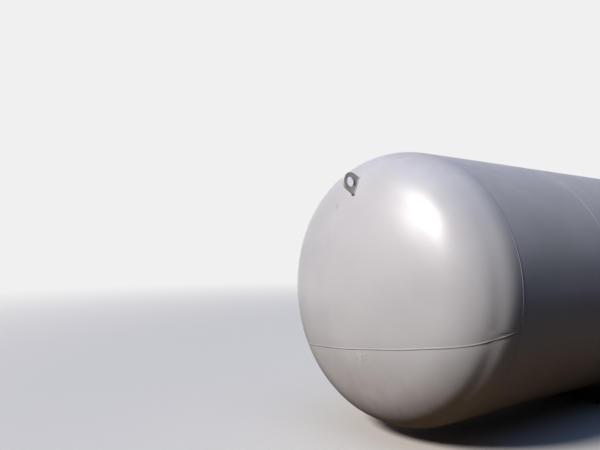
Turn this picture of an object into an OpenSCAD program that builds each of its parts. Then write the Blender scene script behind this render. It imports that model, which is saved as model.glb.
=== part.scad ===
// Horizontal pressure tank on two low steel saddles.
// X runs along the tank's axis, Z is up, and the origin lies on the floor
// under the middle of the tank. The front head looks towards -X.

/* [Tank] */
// Outside diameter of the shell and heads
tank_d = 2400; // [1800:10:3200]
// Thickness of the rolled and pressed plate
wall = 14; // [8:1:30]
// Height of the shell's underside above the floor
underside_h = 100; // [80:5:400]

/* [Shell rings] */
// Length of the two rings that carry the heads
end_ring_l = 1405; // [1000:5:2400]
// Length of each ring between them
mid_ring_l = 2465; // [2000:5:3000]
// Clock angle of one ring's lengthwise weld, from the top towards +Y
long_weld_a = 52; // [30:1:70]
// How far the next ring's weld is turned on from that
long_weld_step = 26; // [10:1:30]

/* [Heads] */
// Radius of the head's wide middle, the crown
crown_r = 2400; // [2000:10:3000]
// Radius of the head's tight edge, the knuckle
knuckle_r = 530; // [250:5:700]
// Length of the straight skirt between knuckle and girth weld
skirt_l = 15; // [12:1:80]
// Distance of the plate seam from the middle of the flat blank
seam_d = 485; // [200:5:800]
// Turn of the plate seam about the tank's axis, towards +Y at the top
seam_turn = 6; // [-30:0.5:30]

/* [Welds] */
// Width of a weld bead
weld_w = 18; // [8:1:22]
// Height of the head's seam bead above the plate
weld_h = 3; // [1:0.5:5]
// Height of the shell's round and lengthwise beads above the plate
shell_weld_h = 1.5; // [1:0.5:5]
// Width of each sloping toe of those beads
weld_toe = 4; // [2:0.5:7]

/* [Lifting lugs] */
// Distance along the head from its pole to the middle of the lug's foot
lug_at = 900; // [500:10:1000]
// Turn of the lug about the tank's axis, towards +Y at the top
lug_turn = 4; // [-30:0.5:30]
// Length of the lug's foot along the head
lug_foot = 174; // [165:1:260]
// Radius of the lug's round end
lug_end_r = 81; // [60:1:85]
// Diameter of the lug's eye
lug_eye_d = 90; // [40:1:100]
// Height of the eye's centre above the head
lug_eye_h = 66; // [60:1:120]
// Shift of the eye outwards from the middle of the foot
lug_eye_shift = 10; // [-20:1:20]
// Thickness of the lug's plate
lug_t = 25; // [12:1:40]
// Leg of the fillet weld round the lug's foot
lug_weld = 10; // [5:1:14]

/* [Saddles] */
// Distance from the head's girth weld to the middle of a saddle
saddle_in = 2550; // [1800:10:3200]
// Angle of shell that a saddle's web holds
saddle_a = 120; // [100:1:140]
// How much further the wear plate reaches at each end
wear_extra_a = 6; // [2:1:10]
// Thickness of the wear plate
wear_t = 12; // [6:1:20]
// Length of the wear plate along the tank
wear_l = 380; // [300:5:500]
// Radius of the wear plate's corners
wear_corner = 60; // [20:5:100]
// Width of the base plate and ribs along the tank
base_l = 300; // [220:5:400]
// Thickness of the base plate
base_t = 20; // [12:1:30]
// Thickness of the web
web_t = 14; // [8:1:25]
// Thickness of a rib
rib_t = 12; // [8:1:20]
// Distance from an end rib to the edge of the base plate
rib_edge = 15; // [5:1:40]
// Ribs between the two end ribs
rib_count = 4; // [2:1:6]
// Diameter of an anchor bolt hole
anchor_d = 28; // [18:1:40]
// Distance between anchor bolts along the tank
anchor_x = 180; // [140:5:200]
// Distance between anchor bolts across the tank
anchor_y = 1800; // [1500:10:1800]

/* [Manway] */
// Outside diameter of the manway's neck
man_d = 530; // [450:10:590]
// Thickness of the manway's neck
man_t = 12; // [8:1:16]
// Height of the neck's top face above the shell
man_h = 220; // [160:5:320]
// Diameter of the manway's flange and cover
man_flange_d = 700; // [680:5:800]
// Thickness of the manway's flange
man_flange_t = 36; // [20:1:50]
// Thickness of the manway's cover
man_cover_t = 40; // [20:1:60]
// Diameter of the circle of bolts in the manway's flange
man_bolt_circle = 640; // [600:5:650]
// Diameter of a bolt hole in the manway's flange
man_bolt_hole = 27; // [18:1:30]
// Number of bolts in the manway's flange
man_bolts = 20; // [12:2:24]
// Distance between the middles of the two handles on the cover
handle_gap = 360; // [240:10:440]
// Width of a handle between the middles of its legs
handle_w = 150; // [120:5:200]
// Height of a handle above the cover
handle_h = 60; // [50:5:120]
// Diameter of a handle's bar
handle_d = 16; // [12:1:20]
// Radius that the middle of the bar is bent to
handle_bend = 26; // [22:1:40]
// Diameter of the plate that stiffens the shell round the manway
man_pad_d = 900; // [820:10:1100]
// Thickness of that plate
man_pad_t = 14; // [8:1:20]
// How far a neck reaches into the tank
neck_in = 40; // [20:5:80]

/* [Nozzles] */
// Outside diameter of a nozzle's pipe
pipe_d = 89; // [60:1:110]
// Thickness of a nozzle's pipe
pipe_t = 6; // [4:1:10]
// Height of a nozzle's top face above the shell
pipe_h = 170; // [120:5:260]
// Diameter of a nozzle's flange and cover
flange_d = 200; // [190:5:240]
// Thickness of a nozzle's flange
flange_t = 22; // [14:1:30]
// Thickness of a nozzle's cover
cover_t = 22; // [14:1:30]
// Diameter of the circle of bolts in a nozzle's flange
bolt_circle = 160; // [152:1:168]
// Diameter of a bolt hole in a nozzle's flange
bolt_hole = 18; // [14:1:20]
// Number of bolts in a nozzle's flange
bolts = 8; // [4:4:8]
// Thickness that the hub adds to the pipe at the flange
hub_out = 10; // [4:1:12]
// Height over which the hub tapers to the pipe
hub_h = 28; // [15:1:40]
// Distance from the manway to the first nozzle
nozzle_first = 650; // [620:10:700]
// Distance from one nozzle to the next
nozzle_step = 320; // [260:10:330]

/* [Flange faces] */
// Height of the raised face that seals a flange
face_h = 2; // [1:0.5:4]
// Distance from the raised face to the bolt holes
face_clear = 4; // [2:0.5:6]
// Chamfer on the rims of flanges and covers
rim_cut = 2; // [1:0.5:4]

/* [Hidden] */

$fn = 256;

// Colours of the finished tank
enamel = "#d3d4da";
bead = "#c9cad0";
steelwork = "#b9bbc2";

// The shell
tank_r = tank_d / 2;
axis_z = underside_h + tank_r;
ring_l = [end_ring_l, mid_ring_l, mid_ring_l, mid_ring_l, end_ring_l];
shell_l = 2 * end_ring_l + 3 * mid_ring_l;
ring_x = [
    -shell_l / 2,
    -shell_l / 2 + end_ring_l,
    -mid_ring_l / 2,
    mid_ring_l / 2,
    shell_l / 2 - end_ring_l,
    shell_l / 2
];

// The head: the crown's centre lies crown_back behind the tangent line, and
// the crown meets the knuckle at join_a from the axis
crown_back = sqrt(pow(crown_r - knuckle_r, 2) - pow(tank_r - knuckle_r, 2));
join_a = asin((tank_r - knuckle_r) / (crown_r - knuckle_r));
join_s = crown_r * join_a * PI / 180;
edge_s = join_s + knuckle_r * (90 - join_a) * PI / 180;
far = 2 * tank_d;

// Points along half of the head's plate seam, and along half of a lug's foot
seam_steps = 18;
foot_steps = 10;

// The saddles
wear_r = tank_r + wear_t;
saddle_x = shell_l / 2 - saddle_in;
web_y = wear_r * sin(saddle_a / 2);
web_top = axis_z - wear_r * cos(saddle_a / 2);
base_w = 2 * (web_y + rib_t + rib_edge);
wear_edge_a = saddle_a / 2 + wear_extra_a;
// a corner's arc crosses the plate's edges just before it would touch them
corner_in = wear_corner - 0.5;

// The fittings on top
nozzle_x = [-nozzle_first, nozzle_first, nozzle_first + nozzle_step];
neck_foot = axis_z + tank_r - wall - neck_in;
man_top = axis_z + tank_r + man_h;
pipe_top = axis_z + tank_r + pipe_h;
man_face_r = (man_bolt_circle - man_bolt_hole) / 2 - face_clear;
face_r = (bolt_circle - bolt_hole) / 2 - face_clear;

// How far the head leans from facing along the axis, at a length s along its
// surface from the pole
function head_lean(s) =
    s < join_s ? s / crown_r * 180 / PI :
    min(90, join_a + (s - join_s) / knuckle_r * 180 / PI);

// Point of the head's profile at s, or at a height out above it: its distance
// from the axis and from the tangent line
function head_point(s, out = 0) =
    let (a = head_lean(s), along = [sin(a), cos(a)])
    s < join_s ? (crown_r + out) * along - [0, crown_back] :
    [tank_r - knuckle_r, 0] + (knuckle_r + out) * along;

// Where a point of the flat blank lies after pressing, seen along the axis:
// it keeps its clock angle, and its distance from the pole becomes arc length
function pressed(p) = p * head_point(norm(p))[0] / norm(p);

// A straight line on the blank at distance d below its middle, pressed, and
// carried on outwards past the rim
function seam_line(d) =
    let (half = sqrt(edge_s * edge_s - d * d))
    let (line = [for (i = [-seam_steps : seam_steps]) pressed([half * i / seam_steps, -d])])
    concat([line[0] * 1.1], line, [line[2 * seam_steps] * 1.1]);

// Tube along X about the tank's axis, with its middle at x
module tube_x(x, length, inner, outer) {
    translate([x - length / 2, 0, axis_z])
        rotate([0, 90, 0])
            difference() {
                cylinder(h = length, r = outer);
                translate([0, 0, -1]) cylinder(h = length + 2, r = inner);
            }
}

// Upright round bar at x, between two heights
module bar_up(x, d, z_from, z_to) {
    translate([x, 0, z_from]) cylinder(h = z_to - z_from, d = d);
}

// Profile of the head between two offsets from its outer surface, skirt included
module head_band(inner, outer, skirt = skirt_l) {
    translate([0, -crown_back])
        intersection() {
            difference() {
                circle(crown_r + outer);
                circle(crown_r + inner);
            }
            polygon([[0, 0], [0, far], [far * sin(join_a), far * cos(join_a)]]);
        }
    translate([tank_r - knuckle_r, 0])
        intersection() {
            difference() {
                circle(knuckle_r + outer);
                circle(knuckle_r + inner);
            }
            polygon([[0, 0], [far * sin(join_a), far * cos(join_a)], [far, far], [far, 0]]);
        }
    translate([tank_r + inner, -skirt])
        square([outer - inner, skirt]);
}

// Turns a head drawn with its dome along +Z and its top along +Y into place
// at the front, and mirrors it for the rear
module at_front() {
    translate([-shell_l / 2 - skirt_l, 0, axis_z])
        rotate([0, -90, 0])
            rotate([0, 0, -90])
                children();
}

module at_rear() {
    mirror([1, 0, 0]) at_front() children();
}

// Prism along the tank's axis over the part of the head below the seam
module below_seam(d) {
    line = seam_line(d);
    translate([0, 0, -far / 2])
        linear_extrude(far)
            polygon(concat([[far, -far], [-far, -far]], line));
}

module head_upper() {
    color(enamel)
        difference() {
            rotate_extrude() head_band(-wall, 0);
            rotate([0, 0, seam_turn]) below_seam(seam_d);
        }
}

module head_lower() {
    color(enamel)
        intersection() {
            rotate_extrude() head_band(-wall, 0);
            rotate([0, 0, seam_turn]) below_seam(seam_d);
        }
}

// Bead over the joint between the head's two plates
module head_seam() {
    color(bead)
        intersection() {
            rotate_extrude() head_band(0, weld_h, skirt_l - weld_w / 2);
            rotate([0, 0, seam_turn])
                difference() {
                    below_seam(seam_d - weld_w / 2);
                    below_seam(seam_d + weld_w / 2);
                }
        }
}

module shell_ring(i) {
    color(enamel)
        difference() {
            tube_x(ring_x[i] + ring_l[i] / 2, ring_l[i], tank_r - wall, tank_r);
            if (i == 2) {
                bar_up(0, man_d, axis_z, axis_z + far);
                for (x = nozzle_x) bar_up(x, pipe_d, axis_z, axis_z + far);
            }
        }
}

// Cross-section of a weld bead on the shell: a low flat cap with sloping
// toes, on a surface at tank_r
module bead_cap() {
    polygon([
        [tank_r, -weld_w / 2], [tank_r + shell_weld_h, weld_toe - weld_w / 2],
        [tank_r + shell_weld_h, weld_w / 2 - weld_toe], [tank_r, weld_w / 2]
    ]);
}

module girth_weld(i) {
    color(bead)
        translate([ring_x[i], 0, axis_z])
            rotate([0, 90, 0])
                rotate_extrude() bead_cap();
}

module long_weld(i) {
    a = long_weld_a + (i % 2) * long_weld_step;
    color(bead)
        translate([ring_x[i] + weld_w / 2, 0, axis_z])
            rotate([180 - a, 0, 0])
                rotate([0, 90, 0])
                    linear_extrude(ring_l[i] - weld_w) bead_cap();
}

// Point where the line from p to a circle about c touches it, on one side
function touch(p, c, r, side) =
    let (a = atan2(p[1] - c[1], p[0] - c[0]) + side * acos(r / norm(p - c)))
    c + r * [cos(a), sin(a)];

// Lifting lug: a round-ended plate that stands on the head in a plane
// through the tank's axis, its foot cut to the head's curve
module lug_outline() {
    eye = [lug_eye_shift, lug_eye_h];
    left = [-lug_foot / 2, -lug_foot / 4];
    right = [lug_foot / 2, -lug_foot / 4];
    // the straight sides aim just within the round end, so that they cross it
    side_r = lug_end_r - 1;
    translate(eye) circle(lug_end_r);
    polygon([left, right, touch(right, eye, side_r, 1), eye, touch(left, eye, side_r, -1)]);
}

// Places an outline on the head's profile: its X runs outwards along the
// head and its Y stands off the head
module on_profile() {
    translate(head_point(lug_at))
        rotate(-head_lean(lug_at))
            children();
}

// Strip of the lug's plane that follows the head, between two heights above
// it, and reaches a length to each side of the lug's middle
module foot_strip(reach, from, to) {
    line = [for (i = [-foot_steps : foot_steps]) lug_at + reach * i / foot_steps];
    polygon(concat(
        [for (s = line) head_point(s, to)],
        [for (i = [2 * foot_steps : -1 : 0]) head_point(line[i], from)]
    ));
}

// Plate of a given thickness in the lug's plane, drawn on the head's profile
module lug_plane(thickness) {
    rotate([0, 0, lug_turn])
        translate([-thickness / 2, 0, 0])
            rotate([90, 0, 90])
                linear_extrude(thickness)
                    children();
}

module lug() {
    color(steelwork)
        lug_plane(lug_t)
            difference() {
                on_profile() lug_outline();
                on_profile() translate([lug_eye_shift, lug_eye_h]) circle(d = lug_eye_d);
                foot_strip(lug_foot, -lug_foot, 0);
            }
}

// Fillet weld round the lug's foot
module lug_fillet() {
    color(bead)
        difference() {
            lug_plane(lug_t + 2 * lug_weld)
                foot_strip(lug_foot / 2 + lug_weld, 0, lug_weld / 2);
            lug_plane(lug_t) on_profile() lug_outline();
        }
}

module at_saddle(side) {
    translate([side * saddle_x, 0, 0]) children();
}

// What a rounded corner leaves off the wear plate: a prism that stands square
// to the plate, for its corner at the end angle and the far edge
module corner_waste() {
    rotate([0, 0, wear_edge_a - asin(corner_in / wear_r)])
        translate([tank_r - wear_t, 0, wear_l / 2 - corner_in])
            rotate([90, 0, 90])
                linear_extrude(3 * wear_t)
                    difference() {
                        square(2 * wear_corner);
                        circle(wear_corner);
                    }
}

module wear_plate() {
    color(steelwork)
        translate([0, 0, axis_z])
            rotate([0, 90, 0])
                difference() {
                    rotate([0, 0, -wear_edge_a])
                        rotate_extrude(angle = 2 * wear_edge_a)
                            translate([tank_r, -wear_l / 2]) square([wear_t, wear_l]);
                    for (y = [0, 1], z = [0, 1])
                        mirror([0, y, 0]) mirror([0, 0, z]) corner_waste();
                }
}

module web() {
    color(steelwork)
        translate([-web_t / 2, 0, 0])
            rotate([90, 0, 90])
                linear_extrude(web_t)
                    difference() {
                        translate([-web_y, base_t]) square([2 * web_y, web_top - base_t]);
                        translate([0, axis_z]) circle(wear_r);
                    }
}

// Upright plate across the saddle, cut to the wear plate's curve
module rib(x, y, length) {
    difference() {
        translate([x, y, base_t])
            cube([length, rib_t, axis_z - base_t - sqrt(wear_r * wear_r - pow(web_y + rib_t, 2))]);
        tube_x(0, 2 * base_l, wear_r / 2, wear_r);
    }
}

module ribs() {
    pitch = 2 * web_y / (rib_count + 1);
    half = (base_l - web_t) / 2;
    color(steelwork) {
        for (y = [-web_y - rib_t, web_y]) rib(-base_l / 2, y, base_l);
        for (k = [1 : rib_count], x = [-base_l / 2, web_t / 2])
            rib(x, -web_y + k * pitch - rib_t / 2, half);
    }
}

module base_plate() {
    color(steelwork)
        difference() {
            translate([-base_l / 2, -base_w / 2, 0]) cube([base_l, base_w, base_t]);
            for (x = [-1, 1], y = [-1, 1])
                translate([x * anchor_x / 2, y * anchor_y / 2, -1])
                    cylinder(h = base_t + 2, d = anchor_d);
        }
}

// Stiffening plate that lies on the shell round the manway's neck
module manway_pad() {
    color(enamel)
        difference() {
            intersection() {
                bar_up(0, man_pad_d, axis_z, axis_z + far);
                tube_x(0, 2 * man_pad_d, tank_r, tank_r + man_pad_t);
            }
            bar_up(0, man_d, axis_z, axis_z + far);
        }
}

// Ring of upright bolt holes about x, through what lies between two heights
module bolt_holes(x, count, circle_d, hole_d, z_from, z_to) {
    for (k = [0 : count - 1])
        translate([x, 0, 0])
            rotate([0, 0, (k + 0.5) * 360 / count])
                bar_up(circle_d / 2, hole_d, z_from - 1, z_to + 1);
}

// Half section of a flange or cover from its bore to its chamfered rim. Its
// back lies at z_back and its raised face at z_face, above or below the back
function flange_points(bore_r, raised_r, rim_r, z_back, z_face) =
    let (up = sign(z_face - z_back), z_rim = z_face - up * face_h)
    [
        [bore_r, z_back], [rim_r - rim_cut, z_back], [rim_r, z_back + up * rim_cut],
        [rim_r, z_rim - up * rim_cut], [rim_r - rim_cut, z_rim],
        [raised_r, z_rim], [raised_r, z_face], [bore_r, z_face]
    ];

module manway_neck() {
    color(enamel)
        difference() {
            bar_up(0, man_d, neck_foot, man_top);
            bar_up(0, man_d - 2 * man_t, neck_foot - 1, man_top + 1);
        }
}

module manway_flange() {
    back = man_top - man_flange_t;
    color(enamel)
        difference() {
            rotate_extrude()
                polygon(flange_points(man_d / 2, man_face_r, man_flange_d / 2, back, man_top));
            bolt_holes(0, man_bolts, man_bolt_circle, man_bolt_hole, back, man_top);
        }
}

// Handle bent from round bar, with its legs let into what lies below z
module handle(x, z) {
    leg_top = z + handle_h - handle_d / 2 - handle_bend;
    reach = handle_w / 2 - handle_bend;
    for (side = [0, 1])
        mirror([0, side, 0]) {
            translate([x, handle_w / 2, z - handle_d / 2])
                cylinder(h = leg_top - z + handle_d / 2, d = handle_d);
            translate([x, reach, leg_top])
                rotate([90, 0, 90])
                    rotate_extrude(angle = 90)
                        translate([handle_bend, 0]) circle(d = handle_d);
        }
    translate([x, reach, leg_top + handle_bend])
        rotate([90, 0, 0]) cylinder(h = 2 * reach, d = handle_d);
}

module manway_cover() {
    back = man_top + man_cover_t;
    color(enamel) {
        difference() {
            rotate_extrude()
                polygon(flange_points(0, man_face_r, man_flange_d / 2, back, man_top));
            bolt_holes(0, man_bolts, man_bolt_circle, man_bolt_hole, man_top, back);
        }
        for (side = [-1, 1]) handle(side * handle_gap / 2, back);
    }
}

// Nozzle: a pipe that widens through a tapered hub into its flange
module nozzle(i) {
    back = pipe_top - flange_t;
    pipe_r = pipe_d / 2;
    color(enamel)
        difference() {
            translate([nozzle_x[i], 0, 0])
                rotate_extrude() {
                    polygon([
                        [pipe_r - pipe_t, neck_foot], [pipe_r, neck_foot], [pipe_r, back - hub_h],
                        [pipe_r + hub_out, back], [pipe_r + hub_out, back + flange_t / 2],
                        [pipe_r - pipe_t, back + flange_t / 2]
                    ]);
                    polygon(flange_points(pipe_r - pipe_t, face_r, flange_d / 2, back, pipe_top));
                }
            bolt_holes(nozzle_x[i], bolts, bolt_circle, bolt_hole, back, pipe_top);
        }
}

module nozzle_cover(i) {
    back = pipe_top + cover_t;
    color(enamel)
        difference() {
            translate([nozzle_x[i], 0, 0])
                rotate_extrude() polygon(flange_points(0, face_r, flange_d / 2, back, pipe_top));
            bolt_holes(nozzle_x[i], bolts, bolt_circle, bolt_hole, pipe_top, back);
        }
}

at_front() head_upper();  // front_head_upper
at_front() head_lower();  // front_head_lower
at_front() head_seam();  // front_head_seam
at_rear() head_upper();  // rear_head_upper
at_rear() head_lower();  // rear_head_lower
at_rear() head_seam();  // rear_head_seam
shell_ring(0);  // shell_ring_1
shell_ring(1);  // shell_ring_2
shell_ring(2);  // shell_ring_3
shell_ring(3);  // shell_ring_4
shell_ring(4);  // shell_ring_5
girth_weld(0);  // girth_weld_1
girth_weld(1);  // girth_weld_2
girth_weld(2);  // girth_weld_3
girth_weld(3);  // girth_weld_4
girth_weld(4);  // girth_weld_5
girth_weld(5);  // girth_weld_6
long_weld(0);  // long_weld_1
long_weld(1);  // long_weld_2
long_weld(2);  // long_weld_3
long_weld(3);  // long_weld_4
long_weld(4);  // long_weld_5
at_front() lug();  // front_lug
at_front() lug_fillet();  // front_lug_weld
at_rear() lug();  // rear_lug
at_rear() lug_fillet();  // rear_lug_weld
at_saddle(-1) wear_plate();  // front_wear_plate
at_saddle(-1) web();  // front_web
at_saddle(-1) ribs();  // front_ribs
at_saddle(-1) base_plate();  // front_base_plate
at_saddle(1) wear_plate();  // rear_wear_plate
at_saddle(1) web();  // rear_web
at_saddle(1) ribs();  // rear_ribs
at_saddle(1) base_plate();  // rear_base_plate
manway_pad();
manway_neck();
manway_flange();
manway_cover();
nozzle(0);  // nozzle_1
nozzle(1);  // nozzle_2
nozzle(2);  // nozzle_3
nozzle_cover(0);  // nozzle_cover_1
nozzle_cover(1);  // nozzle_cover_2
nozzle_cover(2);  // nozzle_cover_3
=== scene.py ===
# %% [markdown]
# # Dressing a horizontal pressure tank
# The tank is a welded steel shell with two pressed heads, sprayed with light grey enamel and laid on
# two low saddles. The frame holds its solids at their real size. This lesson gives them what a
# solid lacks: plate that is never quite even, weld beads, softened edges, bolts and gaskets, and
# enamel that has stood in a yard. The metre is the unit everywhere.

# %% Load the frame
import math
from functools import partial

import bmesh
import bpy
import numpy as np
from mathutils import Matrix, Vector


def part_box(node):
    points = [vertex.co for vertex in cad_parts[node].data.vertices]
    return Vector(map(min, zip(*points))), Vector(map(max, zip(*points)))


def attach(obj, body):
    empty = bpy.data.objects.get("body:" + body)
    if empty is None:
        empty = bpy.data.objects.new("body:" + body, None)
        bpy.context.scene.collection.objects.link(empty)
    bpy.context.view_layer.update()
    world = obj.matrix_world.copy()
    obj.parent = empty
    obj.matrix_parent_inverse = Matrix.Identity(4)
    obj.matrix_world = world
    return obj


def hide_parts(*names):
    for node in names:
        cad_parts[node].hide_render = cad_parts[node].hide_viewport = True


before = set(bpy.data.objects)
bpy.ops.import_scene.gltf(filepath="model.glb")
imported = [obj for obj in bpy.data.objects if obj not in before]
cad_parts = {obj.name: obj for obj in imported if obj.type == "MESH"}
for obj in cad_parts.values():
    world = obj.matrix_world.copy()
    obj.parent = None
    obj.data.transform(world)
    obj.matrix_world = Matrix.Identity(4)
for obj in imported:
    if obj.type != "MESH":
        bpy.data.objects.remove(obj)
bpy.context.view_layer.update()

# %% [markdown]
# ## Sizes
# What the frame can tell is measured on it: the tank's radius, its height, and the places of its
# rings, saddles and fittings. A solid's box doesn't show a wall or a bend, so those are named here.

# %% Sizes that the frame tells
ring_low, ring_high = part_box("shell_ring_1")
TANK_R = (ring_high.y - ring_low.y) / 2
AXIS_Z = (ring_high.z + ring_low.z) / 2
RING_X = [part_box(f"shell_ring_{i}")[0].x for i in range(1, 6)] + [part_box("shell_ring_5")[1].x]
HALF = RING_X[-1]
NOZZLE_X = [sum(corner.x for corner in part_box(f"nozzle_{i}")) / 2 for i in (1, 2, 3)]
SADDLE_X = sum(corner.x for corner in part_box("rear_web")) / 2
print(f"tank radius {TANK_R:.3f}, axis height {AXIS_Z:.3f}, rings at {[round(x, 3) for x in RING_X]}")
print(f"nozzles at {[round(x, 3) for x in NOZZLE_X]}, saddles at {SADDLE_X:.4f} from the middle")

# %% Sizes of the plate and its bends
MM = 0.001
WALL = 14 * MM
CROWN_R = 2400 * MM
KNUCKLE_R = 530 * MM
SKIRT = 15 * MM
SEAM_D = 485 * MM
SEAM_TURN = math.radians(6)
LONG_WELD_A = math.radians(52)
LONG_WELD_STEP = math.radians(26)
WELD_W = 18 * MM
SEAM_H = 3 * MM
SHELL_WELD_H = 2.8 * MM

JOIN_A = math.asin((TANK_R - KNUCKLE_R) / (CROWN_R - KNUCKLE_R))
CROWN_BACK = math.sqrt((CROWN_R - KNUCKLE_R) ** 2 - (TANK_R - KNUCKLE_R) ** 2)
JOIN_S = CROWN_R * JOIN_A
EDGE_S = JOIN_S + KNUCKLE_R * (math.pi / 2 - JOIN_A)
print(f"head: the crown meets the knuckle at {JOIN_S:.3f} and the rim lies at {EDGE_S:.3f} from the pole")

# %% [markdown]
# ## Small tools
# A shape is an array of points, worked out in one go from two parameters, and `lattice` joins
# neighbours in it with four-cornered faces. A closed form repeats its first row at the end, and
# `new_piece` welds what coincides, so that seams and poles close. It then turns the faces outwards.

# %% From arrays to a mesh
MERGE = 0.01 * MM
SHARP, WELD_SHARP, BOLT_SHARP = (math.radians(angle) for angle in (35, 60, 25))


def vectors(*parts):
    """Points or ways from their coordinates, arrays or numbers."""
    return np.stack(np.broadcast_arrays(*parts), axis=-1)


def lattice(points, along=None, across=None):
    """Faces over a grid of points, with a UV map: along the rows in metres, and across from 0 to 1."""
    rows, columns = points.shape[:2]
    index = np.arange(rows * columns).reshape(rows, columns)
    along = np.linspace(0, 1, rows) if along is None else along
    across = np.linspace(0, 1, columns) if across is None else across
    uv = vectors(along[:, None], across)

    def corners(a):
        """The four neighbours that make a face, in their turn round it."""
        return np.stack([a[:-1, :-1], a[1:, :-1], a[1:, 1:], a[:-1, 1:]], axis=2)

    faces = corners(index).reshape(-1, 4)
    return points.reshape(-1, 3), faces, corners(uv).reshape(-1, 4, 2)


def place_piece(name, mesh):
    """The mesh as an object at the origin."""
    piece = bpy.data.objects.new(name, mesh)
    bpy.context.scene.collection.objects.link(piece)
    return piece


def cleaned(name, mesh, sharp, flat=None):
    """A piece of the mesh, with doubles merged, and smooth but for its sharp corners. Flat faces are
    joined, or else all faces are turned outwards."""
    work = bmesh.new()
    work.from_mesh(mesh)
    bmesh.ops.remove_doubles(work, verts=work.verts, dist=MERGE)
    if flat:
        bmesh.ops.dissolve_limit(work, angle_limit=flat, verts=work.verts, edges=work.edges)
    else:
        bmesh.ops.recalc_face_normals(work, faces=work.faces)
    work.to_mesh(mesh)
    work.free()
    mesh.shade_smooth()
    mesh.set_sharp_from_angle(angle=sharp)
    return place_piece(name, mesh)


def new_piece(name, parts, sharp=SHARP):
    """One piece from several lattices."""
    starts = np.cumsum([0] + [len(part[0]) for part in parts])
    parts = [(points, faces + start, uv) for (points, faces, uv), start in zip(parts, starts)]
    points, faces, uv = (np.concatenate(kind) for kind in zip(*parts))
    mesh = bpy.data.meshes.new(name)
    mesh.vertices.add(len(points))
    mesh.vertices.foreach_set("co", points.astype(np.float32).ravel())
    mesh.loops.add(faces.size)
    mesh.loops.foreach_set("vertex_index", faces.astype(np.int32).ravel())
    mesh.polygons.add(len(faces))
    mesh.polygons.foreach_set("loop_start", np.arange(0, faces.size, 4, dtype=np.int32))
    mesh.update(calc_edges=True)
    mesh.uv_layers.new(name="UVMap").data.foreach_set("uv", uv.astype(np.float32).ravel())
    return cleaned(name, mesh, sharp)


def modify(piece, kind, **settings):
    """Adds a modifier to the piece and sets its properties."""
    made = piece.modifiers.new(kind.lower(), kind)
    for key, value in settings.items():
        setattr(made, key, value)
    return piece


def settle(piece):
    """Works the piece's modifiers into its mesh, and keeps its corners sharp."""
    graph = bpy.context.evaluated_depsgraph_get()
    mesh = bpy.data.meshes.new_from_object(piece.evaluated_get(graph))
    piece.modifiers.clear()
    piece.data = mesh
    mesh.set_sharp_from_angle(angle=SHARP)
    return piece


def new_plate(name, parts):
    """Rolled or pressed plate: an outer face, turned away from the tank's middle, and a real wall
    behind it, with sharp rims."""
    piece = new_piece(name, parts)
    face = piece.data.polygons[0]
    if (face.center - Vector((0, 0, AXIS_Z))).dot(face.normal) < 0:
        piece.data.flip_normals()
    return settle(modify(piece, "SOLIDIFY", thickness=WALL, offset=-1))


def dress(piece, material, slot=None, *nodes):
    """Gives the piece its finish, its solids and the tank's one body."""
    piece.data.materials.clear()
    piece.data.materials.append(material)
    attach(piece, "root")
    if nodes:
        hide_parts(*nodes)
    print(f"{piece.name}: {len(piece.data.vertices)} points, {len(piece.data.polygons)} faces")


# %% Unevenness and distances
def unit(ways):
    """The same ways with a length of one."""
    return ways / np.linalg.norm(ways, axis=-1, keepdims=True)


def waves(points, pitch, seed, count=7):
    """Unevenness from 0 to 1: the mean of sine waves that run in chance directions, with crests about
    a pitch apart."""
    draw = np.random.default_rng(seed)
    way = unit(draw.normal(size=(count, 3))) * draw.uniform(0.7, 1.4, (count, 1))
    phase = draw.uniform(0, 2 * math.pi, count)
    return 0.5 + 0.5 * np.sin(2 * math.pi / pitch * points @ way.T + phase).mean(-1)


def wavy(points, *sets):
    """Sum of several waves, each with its depth, pitch and seed."""
    return sum(depth * waves(points, pitch, seed) for depth, pitch, seed in sets)


def dip(distance, reach):
    """1 on a line and 0 about two reaches away from it: e to minus the square of the distance."""
    return np.exp(-(distance / reach) ** 2)


def within(distance, reach):
    """1 up to the reach and 0 beyond it, with a soft edge: e to minus the eighth power."""
    return np.exp(-(distance / reach) ** 8)


# %% [markdown]
# ## Finishes
# Every finish is a small tree of nodes. Colours are written as sRGB hex values, as a paint chart
# gives them, and `linear` turns them to what the renderer works with. One function adds a node. The
# scale of a pattern is 1 over a real size, and a noise keeps nearly always between 0.3 and 0.7.

# %% Colours and nodes
SMOOTH = {"interpolation_type": "SMOOTHSTEP"}
TIMES = {"operation": "MULTIPLY"}
PLUS = {"operation": "ADD"}
COLOUR = {"data_type": "RGBA", "out": 2}
NOISY = 0.3, 0.7


def linear(code):
    """Colour "#rrggbb" as linear light."""
    parts = np.array([int(code[i:i + 2], 16) for i in (1, 3, 5)]) / 255
    light = np.where(parts <= 0.04045, parts / 12.92, ((parts + 0.055) / 1.055) ** 2.4)
    return (*light.tolist(), 1.0)


def connect(node, inputs):
    """Sets or links inputs of a node, in their order, or else by name or number."""
    for key, value in inputs.items() if isinstance(inputs, dict) else enumerate(inputs):
        if isinstance(value, bpy.types.NodeSocket):
            node.id_data.links.new(value, node.inputs[key])
        else:
            node.inputs[key].default_value = value


def add(tree, kind, inputs=None, out=0, **settings):
    """Adds a node, sets its properties, connects its inputs, and gives one of its outputs. A colour
    mix has its factor and both colours at 0, 6 and 7, and its result at 2. A range has its value,
    both ends and both new ends at 0 to 4."""
    made = tree.nodes.new("ShaderNode" + kind)
    for key, value in settings.items():
        setattr(made, key, value)
    connect(made, inputs or {})
    return made.outputs[out] if made.outputs else None


def new_tree(name):
    """A new material, the function that puts a node in it, its shader and its Object coordinates."""
    material = bpy.data.materials.new(name)
    material.use_nodes = True
    material.node_tree.nodes.clear()
    put = partial(add, material.node_tree)
    surface = put("BsdfPrincipled")
    put("OutputMaterial", {"Surface": surface})
    return material, put, surface.node, put("TexCoord", out="Object")


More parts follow.
